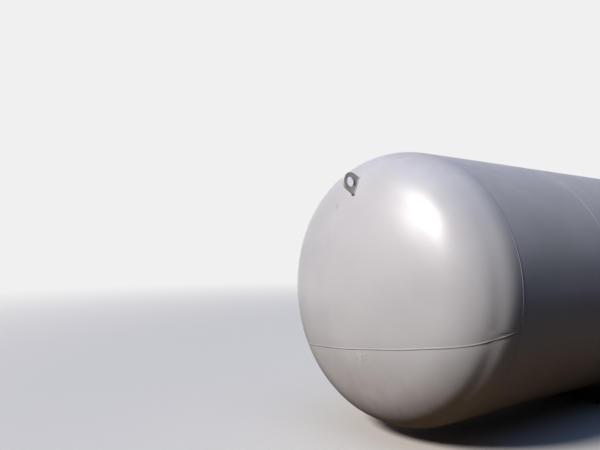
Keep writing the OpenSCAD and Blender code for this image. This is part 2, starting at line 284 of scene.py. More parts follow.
def fed(shader, name="Base Color"):
    """What feeds one of the shader's inputs so far."""
    return shader.inputs[name].links[0].from_socket


def spot(put, where, centre, size, ragged=0.35):
    """Soft ragged spot: 1 at its centre and 0 at its size along each axis. Noise of a third of the
    size shifts the distance from the centre."""
    near = put("Mapping", {
        0: where, "Location": [-c / s for c, s in zip(centre, size)], "Scale": [1 / s for s in size]})
    far = put("VectorMath", [near], "Value", operation="LENGTH")
    rough = put("TexNoise", {"Vector": where, "Scale": 3 / min(size), "Detail": 4.0})
    shift = put("MapRange", (rough, *NOISY, -ragged, ragged))
    moved = put("Math", (far, shift), **PLUS)
    return put("MapRange", (moved, 1.0, 0.35), **SMOOTH)


# %% [markdown]
# ### Enamel
# The tank is sprayed with a semi-gloss alkyd enamel over primer. It dries to a hard, smooth film
# with a fine orange peel, so it gives the sun a soft-edged glint and, on its shaded side, a pale
# reflection at a low angle. Yard dust lies on what faces upwards, and splashed soil, with painted
# shade, darkens and dulls the underside. All of this is small: the tank is nearly new.

# %% Sprayed enamel
# pitch and detail of the spray passes, the dust's patches, the flecks of soil and painted shade,
# the film's flow and the orange peel, whose real pitch of 3 mm is drawn at 9 mm so that it shows
ENAMEL_NOISES = (455 * MM, 4.0), (125 * MM, 5.0), (111 * MM, 5.0), (91 * MM, 3.0), (9.09 * MM, 2.0)
SPLASH_AND_SHADE_HEIGHTS = 0.1, 1.0
DUST, SOIL_AND_SHADE = "#bdb3a3", "#8a7a66"


def enamel(name, light, dark, dust=0.5, splash_and_shade=0.5, roughness=0.38, peel=1.0):
    """Semi-gloss enamel with orange peel, dust on top, and splashed soil with painted shade near the
    ground. Its parts come back as new_tree gives them."""
    material, put, shader, where = new_tree(name)
    up = put("SeparateXYZ", [put("NewGeometry", out="Normal")], "Z")
    height = put("SeparateXYZ", [where], "Z")
    passes, cloud, grit, flow, grain = [
        put("TexNoise", {"Vector": where, "Scale": 1 / pitch, "Detail": detail})
        for pitch, detail in ENAMEL_NOISES
    ]

    # spray passes leave the film a little lighter and darker over about half a metre
    tone = put("MapRange", (passes, *NOISY), **SMOOTH)
    base = put("Mix", {0: tone, 6: linear(dark), 7: linear(light)}, **COLOUR)

    # dust settles where the surface faces upwards, thicker in some patches
    thick = put("MapRange", (cloud, 0.35, 0.75, 0.0, 0.5 * dust), **SMOOTH)
    lying = put("MapRange", (up, 0.35, 1.0), **SMOOTH)
    dusty = put("Math", (lying, thick), **TIMES)

    # rain splashes soil against the lowest part, and the same mix paints shade there, darker towards the
    # bottom
    fleck_and_shade_share = put("MapRange", (grit, *NOISY, 0.42 * splash_and_shade, 0.6 * splash_and_shade), **SMOOTH)
    low = put("MapRange", (height, *SPLASH_AND_SHADE_HEIGHTS, 1.0, 0.0), **SMOOTH)
    soil_and_shade = put("Math", (low, fleck_and_shade_share), **TIMES)
    for share, code in ((dusty, DUST), (soil_and_shade, SOIL_AND_SHADE)):
        base = put("Mix", {0: share, 6: base, 7: linear(code)}, **COLOUR)

    # what lies on the enamel takes away its gloss
    cover = put("Math", (dusty, soil_and_shade), **PLUS)
    gloss = put("MapRange", (flow, *NOISY, roughness - 0.025, roughness + 0.025))
    dull = put("Math", (cover, 0.4, gloss), operation="MULTIPLY_ADD")

    bump = put("Bump", {"Height": grain, "Strength": 0.25 * peel, "Distance": 0.4 * MM})
    connect(shader, {"Base Color": base, "Roughness": dull, "Normal": bump, "IOR": 1.6,
                     "Specular IOR Level": 0.75})
    return material, put, shader, where


TANK_GREY = {"light": "#dbdbe0", "dark": "#d3d3d8", "splash_and_shade": 0.95}
tank_enamel = enamel("sprayed_enamel", **TANK_GREY)[0]
print("made", tank_enamel.name)

# %% [markdown]
# ### The marks on the front head
# The front head carries a few small marks: a rubbed patch just under the seam, whose fresh
# scratches carry a painted glint with painted shade beside it, and a smudge with a faint run below
# it, under the lug. They could be painted as a picture, but spots placed by their position need no
# map and stay sharp close up.

# %% Marked enamel
SMUDGE_AT, SMUDGE_SIZE = (-5.65, 0.255, 2.01), (0.12, 0.022, 0.034)
RUN_AT, RUN_SIZE = (-5.65, 0.255, 1.84), (0.25, 0.022, 0.17)
RUBBED_AT, RUBBED_SIZE = (-5.70, -0.115, 0.752), (0.14, 0.10, 0.075)
SCRATCH = 58.8 * MM


def marked_enamel():
    """The tank's enamel with a smudge, a run and a rubbed patch."""
    material, put, shader, where = enamel("sprayed_enamel_with_marks", **TANK_GREY)
    run = spot(put, where, RUN_AT, RUN_SIZE, 0.2)
    washed = put("Math", (run, 0.35), **TIMES)
    dirt = put("Math", (spot(put, where, SMUDGE_AT, SMUDGE_SIZE), 0.3), **TIMES)

    # the rubbed patch holds short curved scratches: a painted glint in the middle and painted shade beside
    # it
    patch = spot(put, where, RUBBED_AT, RUBBED_SIZE, 0.5)
    strokes = put("TexNoise", {"Vector": where, "Scale": 1 / SCRATCH, "Detail": 2.0, "Distortion": 1.2})
    bright = put("MapRange", (strokes, 0.50, 0.60, 0.0, 0.4), **SMOOTH)
    shade = put("MapRange", (strokes, 0.45, 0.36, 0.0, 0.2), **SMOOTH)
    lit = put("Math", (patch, bright), **TIMES)
    dim = put("Math", (patch, shade), **TIMES)
    base = fed(shader)
    for share, code in ((washed, "#e9e6e6"), (dirt, "#8a8688"), (lit, "#e8e7e8"), (dim, "#8f8a86")):
        base = put("Mix", {0: share, 6: base, 7: linear(code)}, **COLOUR)
    dent = put("Bump", {"Height": lit, "Strength": 0.6, "Distance": MM, "Normal": fed(shader, "Normal")})
    connect(shader, {"Base Color": base, "Normal": dent})
    return material


head_enamel = marked_enamel()
print("made", head_enamel.name)

# %% [markdown]
# ### Enamel over a weld
# A bead is sprayed with the plate, so it has the plate's colour. Its ripples stay visible under the
# paint, a hand's welding has about one each 6 mm, and grime gathers along both toes, with painted
# shade on the lower, lee toe. The welds of the round shell are painted paler, a painted highlight,
# so that they show as fine light lines.

# %% Enamel over a weld
PAINTED_RIPPLE = 6 * MM
RIPPLE_BOW = 12 * MM


def weld_enamel(name, light, dark, grime_and_shade):
    """Enamel rippled along the bead's own UV map, with toes darkened by grime, and above all at 0, the
    lower or lee one, by painted shade. A ripple is the sine of the length along, bowed by the square
    of the place across."""
    finish = enamel(name, light, dark, 0.6, 0.6)
    put, shader = finish[1:3]
    uv = put("TexCoord", out="UV")
    length, across = (put("SeparateXYZ", [uv], axis) for axis in "XY")
    side = put("Math", (across, 0.5), operation="SUBTRACT")
    bow = put("Math", (side, side), **TIMES)
    place = put("Math", (bow, RIPPLE_BOW, length), operation="MULTIPLY_ADD")
    turns = put("Math", (place, 2 * math.pi / PAINTED_RIPPLE), **TIMES)
    ripple = put("Math", [turns], operation="SINE")
    bump = put("Bump", {"Height": ripple, "Strength": 0.5, "Distance": 0.5 * MM,
                        "Normal": fed(shader, "Normal")})
    # grime darkens both toes, and painted shade darkens the lower, lee toe at 0 most
    low_toe = put("MapRange", (across, 0.36, 0.04, 0.0, 0.9), **SMOOTH)
    high_toe = put("MapRange", (across, 0.86, 1.0, 0.0, 0.25), **SMOOTH)
    toe = put("Math", (low_toe, high_toe), **PLUS)
    grimy_and_shaded = put("Mix", {0: toe, 6: fed(shader), 7: linear(grime_and_shade)}, **COLOUR)
    connect(shader, {"Base Color": grimy_and_shaded, "Normal": bump})
    return finish


BEAD_GREY = ("#d8d8dd", "#cfcfd4")
bead_enamel = weld_enamel("enamel_over_weld", *BEAD_GREY, "#645f5b")[0]
# the shell's beads are painted paler than the plate, a painted highlight that makes them show as fine light
# lines
painted_highlight_bead_enamel = weld_enamel("enamel_over_weld_with_painted_highlight", "#e8e8ec", "#e2e2e6", "#bdbbbc")[0]
print("made", bead_enamel.name, "and", painted_highlight_bead_enamel.name)

# %% [markdown]
# ## The shell
# Each ring is one plate, rolled round and welded shut. Rolled plate is never quite even: it draws
# in a millimetre at every girth weld and waves gently between them. That shows only in reflections,
# but there it tells steel from plastic. All of it goes inwards, and none where something is fitted.

# %% How uneven the shell is
ROLLED = (1.6 * MM, 1100 * MM, 11), (0.5 * MM, 350 * MM, 12)
DRAWN_IN, DRAWN_REACH = 1 * MM, 70 * MM
FITTINGS_X, FITTINGS_Y = 1150 * MM, 550 * MM
SADDLE_REACH = 260 * MM


def shell_dent(x, clock):
    """Metres by which the shell lies inside its true radius, at x and at a clock angle from the
    top towards +Y: waves, and a dip at each girth weld."""
    points = vectors(x, TANK_R * np.sin(clock), TANK_R * np.cos(clock))
    dent = wavy(points, *ROLLED) + DRAWN_IN * sum(dip(x - edge, DRAWN_REACH) for edge in RING_X)
    fittings = within(x, FITTINGS_X) * within(points[..., 1], FITTINGS_Y) * (points[..., 2] > 0)
    saddles = within(np.abs(x) - SADDLE_X, SADDLE_REACH) * np.clip(-3 * np.cos(clock) - 0.6, 0, 1)
    return dent * (1 - fittings) * (1 - saddles)


def on_shell(x, clock):
    """Points on the shell."""
    radius = TANK_R - shell_dent(x, clock)
    return vectors(x, radius * np.sin(clock), AXIS_Z + radius * np.cos(clock))


# %% The five rings
RING_STEPS, END_ROWS, MIDDLE_ROWS = 256, 22, 34
CUTTER_STEPS = 64
EVEN_SHARE = 0.4
MANWAY_R = (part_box("manway_neck")[1].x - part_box("manway_neck")[0].x) / 2
PIPE_R = 44.5 * MM


def around(steps, closed=True):
    """Angles round a circle, with the first one again at the end if it is closed."""
    return np.linspace(0, 2 * np.pi, steps + closed, endpoint=closed)


def ring_sheet(i, rows):
    """Grid over ring i: round the clock, and along x with rows closer together at both ends."""
    part = np.linspace(0, 1, rows)
    part = EVEN_SHARE * part + (1 - EVEN_SHARE) * (0.5 - 0.5 * np.cos(np.pi * part))
    x = RING_X[i] + (RING_X[i + 1] - RING_X[i]) * part
    return lattice(on_shell(x[None, :], around(RING_STEPS)[:, None]))


def turned(x, y, radius, height, turn):
    """Lattice of a profile carried round an upright axis. A level's radius may differ with the turn."""
    return lattice(vectors(x + radius * np.cos(turn), y + radius * np.sin(turn), height))


def drill(piece, bars):
    """Cuts upright holes through the upper half of the piece, each with its x and radius."""
    level = AXIS_Z + 2 * TANK_R * np.array([[0, 0, 1, 1]]).T
    cutter = new_piece("cutter", [
        turned(x, 0, np.array([[0, radius, radius, 0]]).T, level, around(CUTTER_STEPS)) for x, radius in bars
    ])
    settle(modify(piece, "BOOLEAN", object=cutter, solver="EXACT"))
    bpy.data.objects.remove(cutter)


for i in range(5):
    ring = new_plate(f"ring_plate_{i + 1}", [ring_sheet(i, END_ROWS if i in (0, 4) else MIDDLE_ROWS)])
    if i == 2:
        drill(ring, [(0, MANWAY_R)] + [(x, PIPE_R) for x in NOZZLE_X])
    dress(ring, tank_enamel, "tank_enamel", f"shell_ring_{i + 1}")

# %% [markdown]
# ## Weld beads
# A bead is one low arch carried along a path. Its width, height and line wander a little as a
# hand's do, and its underside is sunk in the plate. The head's seam, which lies nearest to the eye,
# has its ripples in the mesh. On the long welds they are left to the finish.

# %% A bead along a path
STEP, LONG_STEP = 3.5 * MM, 10 * MM
RIPPLE, BENT = 14 * MM, 0.22
# the line strays by a length, and breadth and crest wander by a share, each over its own pitch
STRAY, BREADTH_SHARE, CREST_SHARE = 1.6 * MM, 0.14, 0.1
STRAY_PITCH, BREADTH_PITCH, CREST_PITCH, SWAY_PITCH = 160 * MM, 90 * MM, 60 * MM, 450 * MM
ARCH_POINTS, FULLNESS, CREST_LEAST, FOOT_SHARE = 9, 0.94, 0.86, 0.35
SUNK_EDGE, SUNK_FOOT = 0.05 * MM, 3 * MM


def closed_sections(sections, along, ring, across=None):
    """Lattices over closed loops of points along a path, which closes on itself or has capped ends."""
    if ring:
        sections = np.concatenate([sections, sections[:1]])
    loops = np.concatenate([sections, sections[:, :1]], axis=1)
    parts = [lattice(loops, along, across)]
    if not ring:
        half = sections.shape[1] // 2
        for end in (sections[0], sections[-1]):
            parts.append(lattice(np.stack([end[:half], end[::-1][:half]], axis=1)))
    return parts


def lengths(path, ring=False):
    """Length along a path up to each point, and round to the first again on a ring."""
    whole = np.concatenate([path, path[:1]]) if ring else path
    return np.concatenate([[0], np.cumsum(np.linalg.norm(np.diff(whole, axis=0), axis=1))])


def carried(path, first, second, a, b):
    """Sections along a path: a along the first way and b along the second, at each point."""
    return path[:, None] + first[:, None] * a[..., None] + second[:, None] * b[..., None]


def bead(path, normal, seed, ring=False, height=SHELL_WELD_H, ripple=0.0, sway=0.0):
    """Weld bead along a path: each section is an arch, its height times 1 minus the square of the
    place across. It wanders in all its measures, and may sway from its path."""
    def wander(pitch, more, count=7):
        """Waves along the path, a value for each section."""
        return waves(path, pitch, seed + more, count)[:, None]

    behind = np.roll(path, 1, 0) if ring else np.concatenate([path[:1], path[:-1]])
    ahead = np.roll(path, -1, 0) if ring else np.concatenate([path[1:], path[-1:]])
    side = unit(np.cross(normal, ahead - behind))
    shift = STRAY * (wander(STRAY_PITCH, 0) - 0.5) + sway * (2 * wander(SWAY_PITCH, 3, 4) - 1)
    breadth = WELD_W * (1 + BREADTH_SHARE * (wander(BREADTH_PITCH, 1) - 0.5))
    across = np.linspace(-1, 1, ARCH_POINTS)
    phase = 2 * np.pi * (lengths(path)[:, None] / RIPPLE + BENT * across ** 2)
    crest = FULLNESS * (CREST_LEAST + CREST_SHARE * wander(CREST_PITCH, 2) + ripple * np.sin(phase))
    tall = np.broadcast_to(height, len(path))[:, None]
    top = tall * (1 - across ** 2) * crest - SUNK_EDGE
    foot = FOOT_SHARE * breadth * np.array([1.0, 0.0, -1.0])
    a = np.concatenate([0.5 * breadth * across, foot], axis=1) + shift
    b = np.concatenate([top, np.full_like(foot, -SUNK_FOOT)], axis=1)
    place = np.concatenate([0.5 + 0.5 * across, [1, 0.5, 0, 0]])
    return closed_sections(carried(path, side, normal, a, b), lengths(path, ring), ring, place)


def dress_weld(name, parts, finish, *nodes):
    """A piece of weld, which stays smooth over its ripples."""
    dress(new_piece(name, parts, sharp=WELD_SHARP), finish, "weld_enamel", *nodes)


# %% Girth welds and lengthwise welds
HEAD_WELD_LEAST, RING_WELD_LEAST = 0.25, 0.6


def girth_bead(x, seed, least):
    """Bead round the tank at x, tallest at half height, where the welder stood, and down to the least
    share of that on top and underneath, by the 14th power of the clock angle's sine."""
    clock = around(int(2 * np.pi * TANK_R / LONG_STEP), closed=False)
    normal = vectors(0, np.sin(clock), np.cos(clock))
    height = SHELL_WELD_H * (least + (1 - least) * np.sin(clock) ** 14)
    return bead(on_shell(x, clock), normal, seed, ring=True, height=height)


def long_bead(i):
    """Bead along ring i, between its two girth welds."""
    clock = LONG_WELD_A + (i % 2) * LONG_WELD_STEP
    x = np.arange(RING_X[i] + WELD_W / 2, RING_X[i + 1] - WELD_W / 2, LONG_STEP)
    normal = np.broadcast_to([0.0, math.sin(clock), math.cos(clock)], (len(x), 3))
    return bead(on_shell(x, clock), normal, 70 + 3 * i)


for i, x in enumerate(RING_X):
    at_head = i in (0, 5)
    least, finish = (HEAD_WELD_LEAST, bead_enamel) if at_head else (RING_WELD_LEAST, painted_highlight_bead_enamel)
    dress_weld(f"girth_bead_{i + 1}", girth_bead(x, 30 + 3 * i, least), finish, f"girth_weld_{i + 1}")
for i in range(5):
    dress_weld(f"long_bead_{i + 1}", long_bead(i), painted_highlight_bead_enamel, f"long_weld_{i + 1}")

# %% [markdown]
# ## The heads
# A head is pressed from a flat round blank of two plates, welded edge to edge. Its middle is a wide
# dome, the crown, which turns through a tight bend, the knuckle, into a short straight skirt. A
# point of the blank keeps its clock angle when it is pressed, and its distance from the middle
# becomes the length along the dome. So the seam, a straight line on the blank, bows on the head.

# %% The pressed form
def lean(s):
    """Angle by which the head has turned away from the axis at a length s from its pole."""
    return np.where(s < JOIN_S, s / CROWN_R, np.minimum(np.pi / 2, JOIN_A + (s - JOIN_S) / KNUCKLE_R))


def head_profile(s, out=0.0):
    """Distance from the axis, and height beyond the tangent line, at s and a height out."""
    a = lean(s)
    crown = s < JOIN_S
    radius = np.where(crown, CROWN_R * np.sin(a), TANK_R - KNUCKLE_R + KNUCKLE_R * np.sin(a))
    height = np.where(crown, CROWN_R * np.cos(a) - CROWN_BACK, KNUCKLE_R * np.cos(a))
    height = np.where(s > EDGE_S, EDGE_S - s, height)
    return radius + out * np.sin(a), height + out * np.cos(a)


# %% How uneven a head is
SEAM_AIM = -math.pi / 2 + SEAM_TURN
LUG_AT = 900 * MM
LUG_TURN = math.radians(4)
PRESSED = (1.5 * MM, 1300 * MM, 21), (0.12 * MM, 300 * MM, 22)
KNUCKLE_WAVE, KNUCKLE_REACH, KNUCKLE_WAVES = 1.2 * MM, 260 * MM, 15
# depth, place along the head, reach, aim and narrowness of the two flats that the press has left
KNUCKLE_FLAT = 9 * MM, 1297 * MM, 70 * MM, -0.5, 1.6
CROWN_FLAT = 9.5 * MM, 930 * MM, 160 * MM, math.radians(49), 8.8
SEAM_DIP, SEAM_REACH = 0.9 * MM, 45 * MM
LOWER_STEP, LOWER_REACH = 0.9 * MM, 60 * MM
TRUE_LUG = 200 * MM


def head_dent(clock, s):
    """Metres by which a pressed head lies inside its true form: waves, two flats that the press has
    left, and dips along the welds, with the lower plate fitted a little further in. A flat is its
    depth times a dip about its place, times e to the power of narrow times the cosine of the angle
    from its aim less 1. Near the lug the form is true."""
    flat = vectors(s * np.cos(clock), s * np.sin(clock), 0)
    ripples = 0.5 + 0.5 * np.sin(KNUCKLE_WAVES * clock + 2 * np.sin(2 * clock))
    dent = wavy(flat, *PRESSED) + KNUCKLE_WAVE * dip(s - (JOIN_S + EDGE_S) / 2, KNUCKLE_REACH) * ripples
    for depth, at, reach, aim, narrow in (KNUCKLE_FLAT, CROWN_FLAT):
        dent += depth * dip(s - at, reach) * np.exp(narrow * (np.cos(clock - aim) - 1))
    below = s * np.cos(clock - SEAM_AIM) - SEAM_D
    dent += SEAM_DIP * dip(below, SEAM_REACH) + LOWER_STEP * dip(below, LOWER_REACH) * (below > -0.001 * MM)
    dent += DRAWN_IN * dip(EDGE_S + SKIRT - s, DRAWN_REACH)
    lug = LUG_AT * np.array([-math.sin(LUG_TURN), math.cos(LUG_TURN), 0])
    return dent * (1 - dip(np.linalg.norm(flat - lug, axis=-1), TRUE_LUG))


def on_head(clock, s, end):
    """Points on the front head (end -1) or the rear one (1), and the ways that it faces. The clock
    angle runs from -Y towards the top."""
    radius, height = head_profile(s, -head_dent(clock, s))
    y, z = -radius * np.cos(clock), AXIS_Z + radius * np.sin(clock)
    a = lean(s)
    facing = vectors(end * np.cos(a), -np.sin(a) * np.cos(clock), np.sin(a) * np.sin(clock))
    return vectors(end * (HALF + SKIRT + height), y, z), facing


# %% The two plates of a head
CORNER = math.acos(SEAM_D / EDGE_S)
UPPER_STEPS, LOWER_STEPS = 220, 130
UPPER_ROWS, LOWER_ROWS, SKIRT_ROWS = 54, 36, 3
SEAM_RIPPLE, SEAM_SWAY = 0.06, 7 * MM


def plates(end):
    """Lattices of the upper and lower plate, from the pole or the seam to the rim, and of the skirt.
    The seam is straight on the blank: its length from the pole is its distance over the cosine of
    the angle from its middle."""
    def sheet(clock, first, last, rows):
        """Grid between two lengths from the pole."""
        return lattice(on_head(clock, first + (last - first) * np.linspace(0, 1, rows), end)[0])

    high = np.linspace(SEAM_AIM + CORNER, SEAM_AIM + 2 * np.pi - CORNER, UPPER_STEPS + 1)[:, None]
    low = np.linspace(SEAM_AIM - CORNER, SEAM_AIM + CORNER, LOWER_STEPS + 1)[:, None]
    seam = SEAM_D / np.cos(low - SEAM_AIM)
    skirt = (EDGE_S, EDGE_S + SKIRT, SKIRT_ROWS)
    upper = [sheet(high, 0, EDGE_S, UPPER_ROWS), sheet(low, 0, seam, UPPER_ROWS), sheet(high, *skirt)]
    return upper, [sheet(low, seam, EDGE_S, LOWER_ROWS), sheet(low, *skirt)]


def seam_bead(end):
    """Bead over the joint of the two plates, from rim to rim."""
    half = math.sqrt(EDGE_S ** 2 - SEAM_D ** 2)
    t = np.arange(-half, half, STEP)
    path, normal = on_head(SEAM_AIM + np.arctan2(t, SEAM_D), np.hypot(t, SEAM_D), end)
    return bead(path, normal, 51, height=SEAM_H, ripple=SEAM_RIPPLE, sway=SEAM_SWAY)


for name, end, finish in (("front", -1, head_enamel), ("rear", 1, tank_enamel)):
    for part, sheets in zip(("upper", "lower"), plates(end)):
        dress(new_plate(f"{name}_{part}_plate", sheets), finish, "tank_enamel", f"{name}_head_{part}")
    dress_weld(f"{name}_seam_bead", seam_bead(end), bead_enamel, f"{name}_head_seam")

# %% [markdown]
# ## Fillet welds
# Where one plate stands on another, the weld fills the corner with a small triangle. One function
# carries that triangle along a path. It needs, at each point, the way out along the first plate and
# the way up the second.

# %% A fillet along a path
FILLET_LEAST, FILLET_MORE, FILLET_PITCH = 0.92, 0.16, 50 * MM
FILLET_SINK, FILLET_POINTS = 2 * MM, 5
CORNER_POINTS = 7


def fillet(path, out, up, leg, seed, ring=False):
    """Fillet weld: a triangle with one leg out and one leg up, whose face bulges by an eighth of
    the leg. Its size wanders, and its back is sunk in both plates."""
    out, up = np.broadcast_to(out, path.shape), np.broadcast_to(up, path.shape)
    size = leg * (FILLET_LEAST + FILLET_MORE * waves(path, FILLET_PITCH, seed))[:, None]
    q = np.linspace(0, 1, FILLET_POINTS)
    bulge = 0.5 * q * (1 - q)
    back = np.full_like(size, -FILLET_SINK)
    a = np.concatenate([back, size, size * (1 - q + bulge), back], axis=1)
    b = np.concatenate([back, back, size * (q + bulge), size], axis=1)
    place = np.concatenate([[0, 0], q, [1, 0]])
    return closed_sections(carried(path, out, up, a, b), lengths(path, ring), ring, place)


def straight(first, last, pitch=LONG_STEP):
    """Points along a line, about a pitch apart."""
    first, last = np.array(first), np.array(last)
    count = max(2, int(np.linalg.norm(last - first) / pitch))
    return first + (last - first) * np.linspace(0, 1, count)[:, None]


def rounded_loop(half_a, half_b, corner, pitch):
    """Points round a rectangle, and the ways outwards. Each rounded corner is a quarter turn, and the
    straight edges between them are filled at the pitch."""
    places, ways = [], []
    for k, (i, j) in enumerate(((1, 1), (-1, 1), (-1, -1), (1, -1))):
        a = np.linspace(k, k + 1, CORNER_POINTS) * np.pi / 2
        way = vectors(np.cos(a), np.sin(a))
        place = np.array([i * (half_a - corner), j * (half_b - corner)]) + corner * way
        span = (half_a if k % 2 == 0 else half_b) - corner
        edge = np.arange(pitch, 2 * span, pitch)[:, None]
        places += [place, place[-1] + edge * np.array([-way[-1, 1], way[-1, 0]])]
        ways += [way, np.broadcast_to(way[-1], (len(edge), 2))]
    return np.concatenate(places), np.concatenate(ways)


# %% [markdown]
# ## The lifting lugs
# A lug is flame-cut from 25 mm plate, with a round eye, and stands on the head in a plane through
# the tank's axis. Its body is a ring of sections from the eye's edge to the outline, so the eye is
# open and both edges are softly rounded. Its foot follows the head's curve and is sunk in it.

# %% The lug's plane
LUG_FOOT = 174 * MM
LUG_END_R = 81 * MM
LUG_EYE_R = 45 * MM
LUG_EYE = np.array([10 * MM, 66 * MM])
LUG_T = 25 * MM
LUG_EDGE = 2.5 * MM
LUG_SINK = 3 * MM
LUG_LEG = 9 * MM
FOOT_POINTS, END_POINTS, SIDE_STEP = 34, 60, 8 * MM

LUG_ORIGIN = np.array(head_profile(LUG_AT))
lug_cos, lug_sin = math.cos(lean(LUG_AT)), math.sin(lean(LUG_AT))
LUG_AXES = np.array([[lug_cos, -lug_sin], [lug_sin, lug_cos]])


def to_world(plane, t, end, move=True):
    """Points, or ways when they don't move, from the lug's plane: distance from the axis, height
    beyond the tangent line, and t across the plate."""
    r, h = plane[..., 0], plane[..., 1]
    x, z = (end * (HALF + SKIRT), AXIS_Z) if move else (0.0, 0.0)
    c, s = math.cos(LUG_TURN), math.sin(LUG_TURN)
    return vectors(x + end * h, r * s - t * c, z + r * c + t * s)


def touch(p, side):
    """Point where a line from p touches the lug's round end, on one side."""
    away = p - LUG_EYE
    a = math.atan2(away[1], away[0]) + side * math.acos(LUG_END_R / np.linalg.norm(away))
    return LUG_EYE + LUG_END_R * np.array([math.cos(a), math.sin(a)])


def foot_curve(s):
    """The head's curve in the lug's own axes, at lengths s and sunk in the head."""
    return (vectors(*head_profile(s, -LUG_SINK)) - LUG_ORIGIN) @ LUG_AXES.T


# %% Outline of a lug
corners = [np.array([side * LUG_FOOT / 2, -LUG_FOOT / 4]) for side in (1, -1)]
ends = [touch(corner, side) for corner, side in zip(corners, (1, -1))]
reach = LUG_AT + np.linspace(-0.6, 0.6, 200) * LUG_FOOT
fx, fy = foot_curve(reach).T
gaps = [(fx - c[0]) * (e[1] - c[1]) - (fy - c[1]) * (e[0] - c[0]) for c, e in zip(corners, ends)]
LUG_S = [float(np.interp(0, gap, reach)) for gap in gaps]
foot = foot_curve(np.linspace(*LUG_S, FOOT_POINTS))
angle = [math.atan2(*(e - LUG_EYE)[::-1]) for e in ends]
arc = np.linspace(angle[1], angle[0] - (2 * math.pi if angle[0] > angle[1] else 0), END_POINTS)
round_end = LUG_EYE + LUG_END_R * vectors(np.cos(arc), np.sin(arc))
sides = straight(foot[-1], ends[1], SIDE_STEP), straight(ends[0], foot[0], SIDE_STEP)
outline = np.concatenate([line[:-1] for line in (foot, sides[0], round_end, sides[1])])
print(f"lug: foot from {LUG_S[1]:.4f} to {LUG_S[0]:.4f} along the head, outline of {len(outline)} points")


# %% Body and weld of a lug
def lug_body(end):
    """Ring of sections from the eye to the outline, slabs whose four edges are quarter turns. The
    place round a section is 0 and 1 in the middle of the outer edge."""
    way = unit(outline - LUG_EYE)
    eye = LUG_EYE + LUG_EYE_R * way
    a = np.linspace(0, np.pi / 2, 4)
    inward = np.concatenate([[0.0], LUG_EDGE * (1 - np.cos(a)), [2 * LUG_EDGE]])
    height = np.concatenate([[0.0], LUG_T / 2 - LUG_EDGE * (1 - np.sin(a)), [LUG_T / 2]])
    outer = outline[:, None, :] - way[:, None, :] * inward[None, :, None]
    inner = eye[:, None, :] + way[:, None, :] * inward[None, :, None]
    plane = np.concatenate([outer, inner[:, ::-1], inner[:, 1:], outer[:, :0:-1]], axis=1)
    t = np.concatenate([height, height[::-1], -height[1:], -height[:0:-1]])
    world = to_world(LUG_ORIGIN + plane @ LUG_AXES, t[None, :], end)
    return closed_sections(world, lengths(outline, True), True)


def lug_fillet(end):
    """Fillet weld round the lug's foot, up along the head's normal on both faces and along the lug's
    own edge at both ends."""
    place, way = rounded_loop(abs(LUG_S[0] - LUG_S[1]) / 2, LUG_T / 2, 0.0, STEP)
    s = sum(LUG_S) / 2 + place[:, 0]
    a = lean(s)
    path = to_world(vectors(*head_profile(s)), place[:, 1], end)
    flat = vectors(np.cos(a), -np.sin(a)) * way[:, :1]
    up = np.abs(way[:, 1:]) * vectors(np.sin(a), np.cos(a))
    for side, c, e in zip((1, -1), corners, ends):
        up += np.maximum(side * way[:, :1], 0) * (unit(e - c) @ LUG_AXES)
    out, up = (to_world(ways, t, end, move=False) for ways, t in ((flat, way[:, 1]), (unit(up), 0.0)))
    return fillet(path, out, up, LUG_LEG, 90, ring=True)


# %% [markdown]
# ### Paint on a lug
# The lugs were cut and welded on last and got one thin coat, so the grey has a brown cast. Their
# cut edge carries a pale cream painted highlight. Bare spots of the weld round the foot have rusted.

# %% Thin paint on flame-cut plate
def foot_point(s):
    """Middle of the front lug's foot at s."""
    return to_world(np.array(head_profile(s)), 0.0, -1)


RUST_SPOTS = [
    (foot_point(LUG_S[1]), 20 * MM),
    (foot_point(LUG_AT + 12 * MM) + [-18 * MM, 0.0, 7 * MM], 32 * MM),
    (foot_point(LUG_S[0]), 12 * MM),
]


def lug_paint():
    """Grey paint with a pale cream painted highlight on the cut edge, which the UV map has at both ends."""
    finish = enamel("thin_paint_on_cut_plate", "#e2dad3", "#d0c8c1", 0.3, 0.0, 0.45)
    put, shader = finish[1:3]
    across = put("SeparateXYZ", [put("TexCoord", out="UV")], "Y")
    side = put("Math", (across, 0.5), operation="SUBTRACT")
    # the cut edge all round takes a pale cream painted highlight
    rim = put("MapRange", (put("Math", [side], operation="ABSOLUTE"), 0.36, 0.42))
    base = put("Mix", {0: rim, 6: fed(shader), 7: linear("#f2efe7")}, **COLOUR)
    connect(shader, {"Base Color": base})
    return finish


def rusted(finish):
    """The finish with brown spots at the foot of both lugs: x is folded to one side."""
    material, put, shader, where = finish
    x, y, z = (put("SeparateXYZ", [where], axis) for axis in "XYZ")
    folded = put("CombineXYZ", (put("Math", [x], operation="ABSOLUTE"), y, z))
    for (x, y, z), size in RUST_SPOTS:
        rust = spot(put, folded, (abs(x), y, z), (size, size, size), 0.5)
        base = put("Mix", {0: rust, 6: fed(shader), 7: linear("#3a2f2b")}, **COLOUR)
        connect(shader, {"Base Color": base})
    return material


lug_finish = rusted(lug_paint())
lug_weld_finish = rusted(weld_enamel("enamel_over_lug_weld", *BEAD_GREY, "#6d625a"))
for name, end in (("front", -1), ("rear", 1)):
    dress(new_piece(f"{name}_lifting_lug", lug_body(end)), lug_finish, "lug_enamel", f"{name}_lug")
    dress_weld(f"{name}_lug_fillet", lug_fillet(end), lug_weld_finish, f"{name}_lug_weld")

# %% [markdown]
# ## Saddles and fittings
# The plates of the saddles, the manway and the nozzles have the right form already. Copies of them
# get edges softened by a millimetre or so, as cut and painted steel has, because a knife-sharp edge
# never catches the light.

# %% Softened copies
EDGE_A, FLAT_A = math.radians(40), math.radians(0.5)
PLATE_EDGE, MANWAY_EDGE, NOZZLE_EDGE = 1.5 * MM, 0.8 * MM, 0.6 * MM


